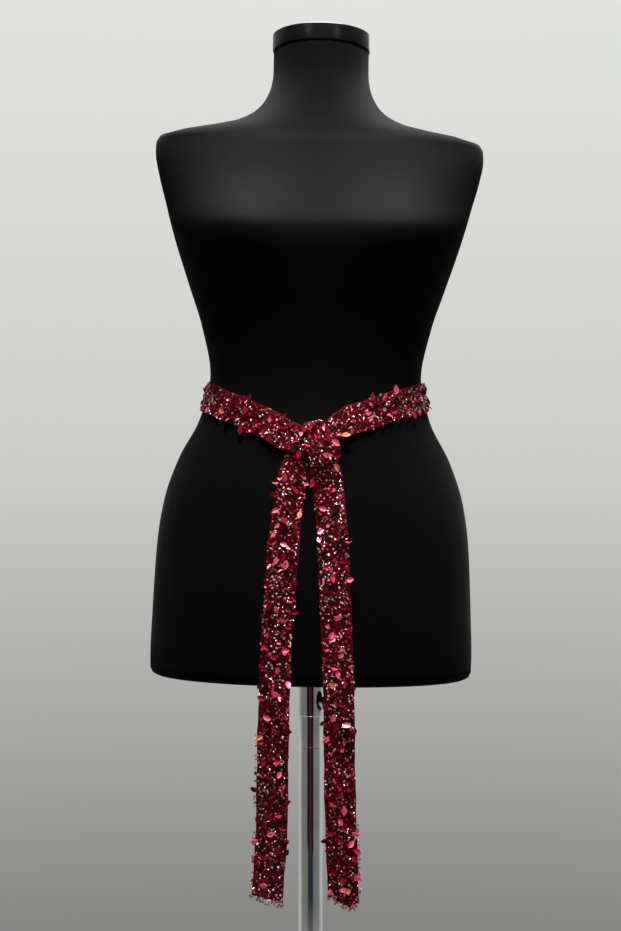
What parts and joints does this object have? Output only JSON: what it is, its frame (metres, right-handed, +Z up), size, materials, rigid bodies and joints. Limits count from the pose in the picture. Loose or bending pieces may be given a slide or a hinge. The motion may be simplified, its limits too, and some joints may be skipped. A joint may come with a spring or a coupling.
{
  "type": "bridal sash on a dress form",
  "caption": "Burgundy beaded and sequined ribbon sash tied in a half knot at the front of a limbless black dress form on a chrome pole stand.",
  "frame": {"origin": "on the pole's axis at the underside of the base plate, where the stand meets the floor", "axes": "+Z up along the pole, -Y to the front, where the knot and tails are, +X to the viewer's right"},
  "size_m": [0.3913, 0.32, 1.5031],
  "materials": {
    "sash_cloth": "burgundy ribbon closely sewn with glossy seed beads and leaf sequins",
    "form_jersey": "matt black stretch jersey",
    "cap_gloss": "semi-gloss black",
    "chrome": "polished",
    "screw_plastic": "black moulded"
  },
  "bodies": {
    "stand": {"base_plate": "chrome", "base_socket": "chrome", "pole": "chrome"},
    "clamp": {"clamp_collar": "chrome"},
    "screw": {"thumb_screw": "screw_plastic"},
    "form": {"torso": "form_jersey", "neck_cap": "cap_gloss", "sash_waist_band": "sash_cloth", "sash_front_tail": "sash_cloth", "sash_under_tail": "sash_cloth"}
  },
  "joints": [
    {"name": "height_slide", "type": "slide", "parent": "stand", "child": "clamp", "axis": [0, 0, 1], "range_m": [-0.2, 0.1]},
    {"name": "form_swivel", "type": "hinge", "parent": "clamp", "child": "form", "pos_m": [0, 0, 0.75], "axis": [0, 0, 1], "continuous": true},
    {"name": "screw_turn", "type": "hinge", "parent": "clamp", "child": "screw", "pos_m": [0, 0, 0.718], "axis": [0.866, -0.5, 0], "range_deg": [0, 540]}
  ]
}
